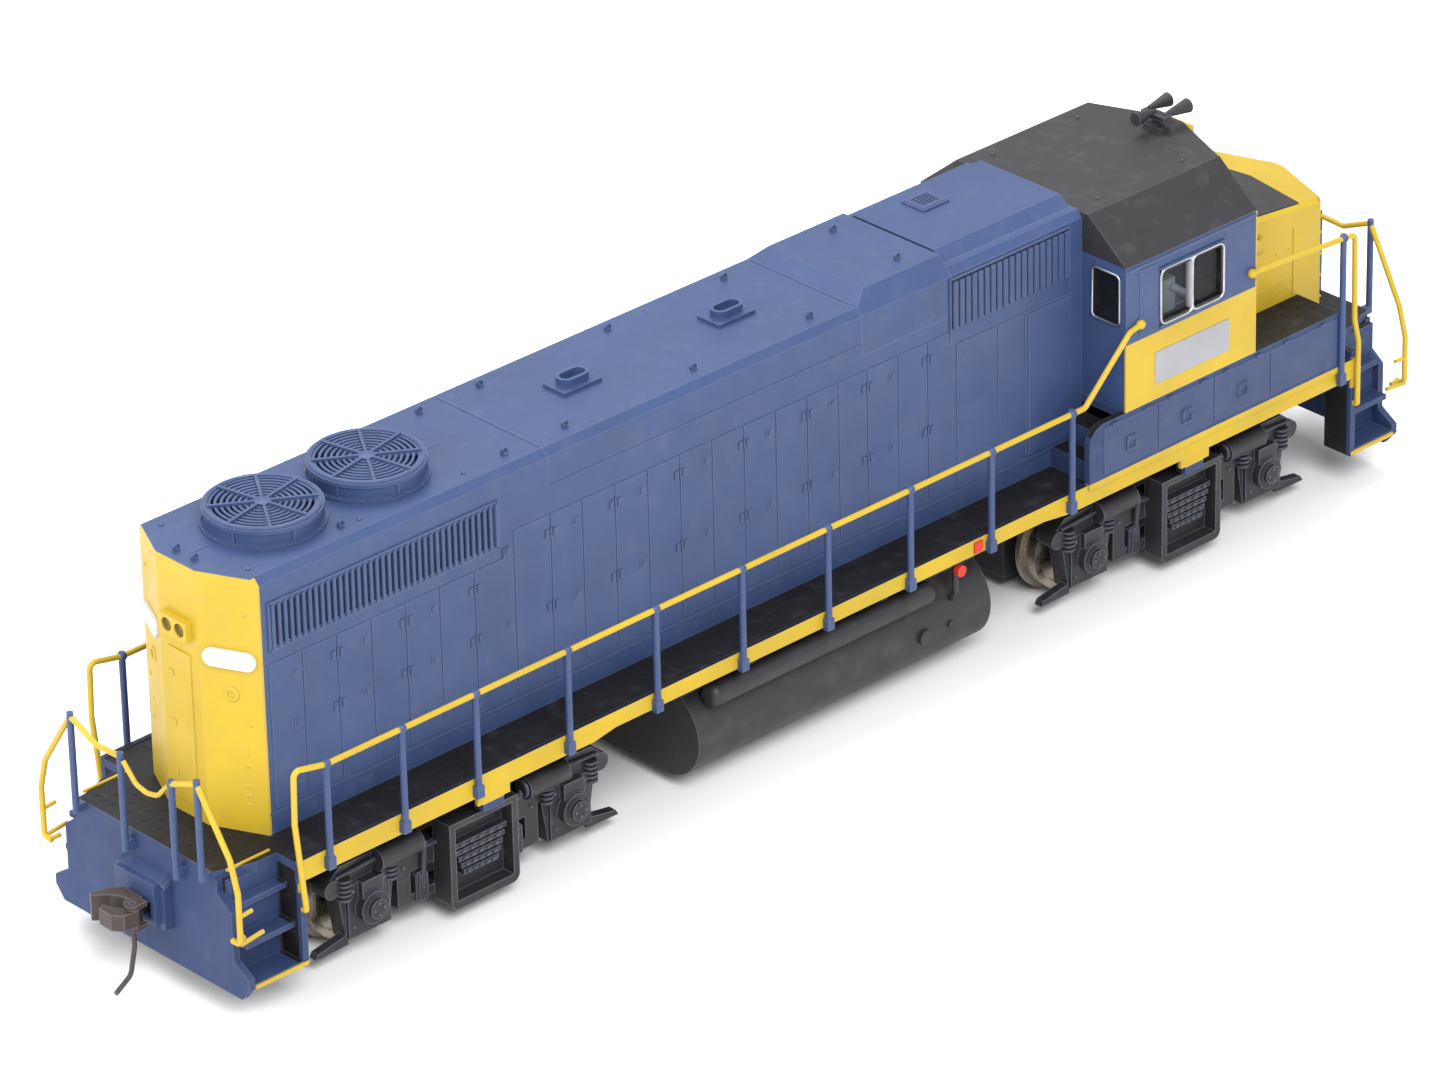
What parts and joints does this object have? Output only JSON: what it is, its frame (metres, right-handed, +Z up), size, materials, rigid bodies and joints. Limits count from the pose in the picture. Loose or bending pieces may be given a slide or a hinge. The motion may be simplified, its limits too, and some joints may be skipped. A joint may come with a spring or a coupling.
{
  "type": "model diesel locomotive",
  "caption": "HO scale four-axle diesel locomotive with a long rear hood, a cab and a low pointed nose, handrails, swivelling geared trucks and swinging couplers.",
  "frame": {"origin": "centre of the locomotive, at the height of the bottoms of the wheel flanges", "axes": "+X towards the cab end, +Y to the left of the engine, +Z up"},
  "size_m": [0.2084, 0.0374, 0.055],
  "materials": {
    "hood_blue": "satin painted",
    "cab_blue": "satin painted, black roof",
    "nose_yellow": "satin painted",
    "frame_blue": "satin painted",
    "rail_yellow": "satin",
    "post_blue": "satin",
    "gasket_silver": "foil edge over a black gasket",
    "clear": "clear",
    "interior": "matt",
    "horn_black": "matt",
    "lamp_yellow": "satin painted",
    "board_white": "blank",
    "underbody_black": "matt",
    "fitting_red": "satin",
    "chassis_metal": "die-cast, blackened",
    "motor_steel": "satin",
    "shaft_steel": "ground",
    "flywheel_brass": "turned",
    "board_green": "solder resist",
    "coupler_brown": "matt",
    "truck_black": "matt",
    "gearbox_black": "satin",
    "gear_plastic": "satin",
    "worm_brass": "turned",
    "wheel_metal": "turned nickel silver"
  },
  "bodies": {
    "locomotive": {"air_horn": "horn_black", "air_reservoirs": "underbody_black", "blower_hatch": "hood_blue", "cab_glazing": "clear", "cab_interior": "interior", "cab_shell": "cab_blue", "chassis_frame": "chassis_metal", "circuit_board": "board_green", "cooling_fans": "hood_blue", "coupler_boxes": "underbody_black", "end_posts": "post_blue", "end_rails_front": "rail_yellow", "end_rails_rear": "rail_yellow", "exhaust_stacks": "hood_blue", "fan_grilles": "hood_blue", "fan_housings": "hood_blue", "filter_hatch": "hood_blue", "frame_screws": "shaft_steel", "fuel_fittings": "fitting_red", "fuel_tank": "underbody_black", "handrails": "rail_yellow", "headlight_housings": "lamp_yellow", "headlight_lenses": "clear", "lift_rings": "hood_blue", "long_hood_shell": "hood_blue", "motor_can": "motor_steel", "number_boards": "board_white", "radiator_grilles": "hood_blue", "roof_hatch": "hood_blue", "short_hood_shell": "nose_yellow", "stanchions": "post_blue", "walkway_frame": "frame_blue", "window_frames": "gasket_silver"},
    "motor_rotor": {"motor_shaft": "shaft_steel", "armature": "shaft_steel", "flywheels": "flywheel_brass"},
    "front_truck": {"front_truck_sideframes": "truck_black", "front_gearbox": "gearbox_black", "front_gearbox_cover": "gearbox_black"},
    "front_worm_body": {"front_worm": "worm_brass"},
    "front_worm_wheel_body": {"front_worm_wheel": "gear_plastic"},
    "front_outer_idler_body": {"front_outer_idler": "gear_plastic"},
    "front_middle_idler_body": {"front_middle_idler": "gear_plastic"},
    "front_inner_idler_body": {"front_inner_idler": "gear_plastic"},
    "front_outer_wheelset_body": {"front_outer_wheelset": "wheel_metal"},
    "front_inner_wheelset_body": {"front_inner_wheelset": "wheel_metal"},
    "front_coupler": {"front_coupler_head": "coupler_brown"},
    "front_knuckle": {"front_coupler_knuckle": "coupler_brown"},
    "rear_truck": {"rear_truck_sideframes": "truck_black", "rear_gearbox": "gearbox_black", "rear_gearbox_cover": "gearbox_black"},
    "rear_worm_body": {"rear_worm": "worm_brass"},
    "rear_worm_wheel_body": {"rear_worm_wheel": "gear_plastic"},
    "rear_outer_idler_body": {"rear_outer_idler": "gear_plastic"},
    "rear_middle_idler_body": {"rear_middle_idler": "gear_plastic"},
    "rear_inner_idler_body": {"rear_inner_idler": "gear_plastic"},
    "rear_outer_wheelset_body": {"rear_outer_wheelset": "wheel_metal"},
    "rear_inner_wheelset_body": {"rear_inner_wheelset": "wheel_metal"},
    "rear_coupler": {"rear_coupler_head": "coupler_brown"},
    "rear_knuckle": {"rear_coupler_knuckle": "coupler_brown"}
  },
  "joints": [
    {"name": "motor_spin", "type": "hinge", "parent": "locomotive", "child": "motor_rotor", "pos_m": [0, 0, 0.02265], "axis": [1, 0, 0], "continuous": true},
    {"name": "front_truck_swivel", "type": "hinge", "parent": "locomotive", "child": "front_truck", "pos_m": [0.0595, 0, 0.0145], "axis": [0, 0, 1], "range_deg": [-9, 9]},
    {"name": "front_worm_spin", "type": "hinge", "parent": "front_truck", "child": "front_worm_body", "pos_m": [0.0595, 0, 0.02265], "axis": [1, 0, 0], "continuous": true},
    {"name": "front_worm_wheel_spin", "type": "hinge", "parent": "front_truck", "child": "front_worm_wheel_body", "pos_m": [0.069, 0, 0.01674], "axis": [0, 1, 0], "continuous": true},
    {"name": "front_outer_idler_spin", "type": "hinge", "parent": "front_truck", "child": "front_outer_idler_body", "pos_m": [0.06738, 0, 0.00788], "axis": [0, 1, 0], "continuous": true},
    {"name": "front_middle_idler_spin", "type": "hinge", "parent": "front_truck", "child": "front_middle_idler_body", "pos_m": [0.0595, 0, 0.00647], "axis": [0, 1, 0], "continuous": true},
    {"name": "front_inner_idler_spin", "type": "hinge", "parent": "front_truck", "child": "front_inner_idler_body", "pos_m": [0.05162, 0, 0.00788], "axis": [0, 1, 0], "continuous": true},
    {"name": "front_outer_wheelset_spin", "type": "hinge", "parent": "front_truck", "child": "front_outer_wheelset_body", "pos_m": [0.07525, 0, 0.00647], "axis": [0, 1, 0], "continuous": true},
    {"name": "front_inner_wheelset_spin", "type": "hinge", "parent": "front_truck", "child": "front_inner_wheelset_body", "pos_m": [0.04375, 0, 0.00647], "axis": [0, 1, 0], "continuous": true},
    {"name": "front_coupler_swing", "type": "hinge", "parent": "locomotive", "child": "front_coupler", "pos_m": [0.09, 0, 0.0107], "axis": [0, 0, 1], "range_deg": [-8, 8]},
    {"name": "front_knuckle_open", "type": "hinge", "parent": "front_coupler", "child": "front_knuckle", "pos_m": [0.1007, 0.0021, 0.0107], "axis": [0, 0, 1], "range_deg": [0, 25]},
    {"name": "rear_truck_swivel", "type": "hinge", "parent": "locomotive", "child": "rear_truck", "pos_m": [-0.0595, 0, 0.0145], "axis": [0, 0, 1], "range_deg": [-9, 9]},
    {"name": "rear_worm_spin", "type": "hinge", "parent": "rear_truck", "child": "rear_worm_body", "pos_m": [-0.0595, 0, 0.02265], "axis": [1, 0, 0], "continuous": true},
    {"name": "rear_worm_wheel_spin", "type": "hinge", "parent": "rear_truck", "child": "rear_worm_wheel_body", "pos_m": [-0.069, 0, 0.01674], "axis": [0, 1, 0], "continuous": true},
    {"name": "rear_outer_idler_spin", "type": "hinge", "parent": "rear_truck", "child": "rear_outer_idler_body", "pos_m": [-0.06738, 0, 0.00788], "axis": [0, 1, 0], "continuous": true},
    {"name": "rear_middle_idler_spin", "type": "hinge", "parent": "rear_truck", "child": "rear_middle_idler_body", "pos_m": [-0.0595, 0, 0.00647], "axis": [0, 1, 0], "continuous": true},
    {"name": "rear_inner_idler_spin", "type": "hinge", "parent": "rear_truck", "child": "rear_inner_idler_body", "pos_m": [-0.05162, 0, 0.00788], "axis": [0, 1, 0], "continuous": true},
    {"name": "rear_outer_wheelset_spin", "type": "hinge", "parent": "rear_truck", "child": "rear_outer_wheelset_body", "pos_m": [-0.07525, 0, 0.00647], "axis": [0, 1, 0], "continuous": true},
    {"name": "rear_inner_wheelset_spin", "type": "hinge", "parent": "rear_truck", "child": "rear_inner_wheelset_body", "pos_m": [-0.04375, 0, 0.00647], "axis": [0, 1, 0], "continuous": true},
    {"name": "rear_coupler_swing", "type": "hinge", "parent": "locomotive", "child": "rear_coupler", "pos_m": [-0.09, 0, 0.0107], "axis": [0, 0, 1], "range_deg": [-8, 8]},
    {"name": "rear_knuckle_open", "type": "hinge", "parent": "rear_coupler", "child": "rear_knuckle", "pos_m": [-0.1007, -0.0021, 0.0107], "axis": [0, 0, 1], "range_deg": [0, 25]}
  ],
  "couplings": [
    {"joint": "front_worm_spin", "follows": "motor_spin", "ratio": 1},
    {"joint": "front_worm_wheel_spin", "follows": "motor_spin", "ratio": 0.0625},
    {"joint": "front_outer_idler_spin", "follows": "motor_spin", "ratio": -0.078125},
    {"joint": "front_middle_idler_spin", "follows": "motor_spin", "ratio": 0.078125},
    {"joint": "front_inner_idler_spin", "follows": "motor_spin", "ratio": -0.078125},
    {"joint": "front_outer_wheelset_spin", "follows": "motor_spin", "ratio": 0.078125},
    {"joint": "front_inner_wheelset_spin", "follows": "motor_spin", "ratio": 0.078125},
    {"joint": "rear_worm_spin", "follows": "motor_spin", "ratio": 1},
    {"joint": "rear_worm_wheel_spin", "follows": "motor_spin", "ratio": 0.0625},
    {"joint": "rear_outer_idler_spin", "follows": "motor_spin", "ratio": -0.078125},
    {"joint": "rear_middle_idler_spin", "follows": "motor_spin", "ratio": 0.078125},
    {"joint": "rear_inner_idler_spin", "follows": "motor_spin", "ratio": -0.078125},
    {"joint": "rear_outer_wheelset_spin", "follows": "motor_spin", "ratio": 0.078125},
    {"joint": "rear_inner_wheelset_spin", "follows": "motor_spin", "ratio": 0.078125}
  ]
}
